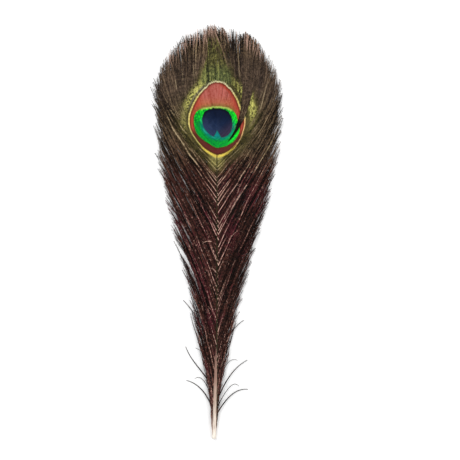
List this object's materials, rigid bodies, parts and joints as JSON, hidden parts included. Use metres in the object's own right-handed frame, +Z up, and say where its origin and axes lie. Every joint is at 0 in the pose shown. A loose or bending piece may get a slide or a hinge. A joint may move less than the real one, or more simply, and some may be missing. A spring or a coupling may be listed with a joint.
{
  "type": "peacock feather",
  "caption": "Trimmed peacock tail feather with one eye, lying flat: a thin shaft, loose bronze barbs along it and a zipped round eye at the tip.",
  "frame": {"origin": "on the surface that the feather lies on, under the middle of the eye", "axes": "+Y along the feather towards its tip, +Z up out of the eye's face, +X to the right"},
  "size_m": [0.0972, 0.3051, 0.0064],
  "materials": {
    "barbs": "dark bronze-brown barbs with a soft metallic sheen, and a blue, green, coral and gold eye",
    "quill": "smooth horn, cream at the cut end and brown towards the eye"
  },
  "bodies": {
    "root": {"feather": "barbs"}
  },
  "joints": []
}
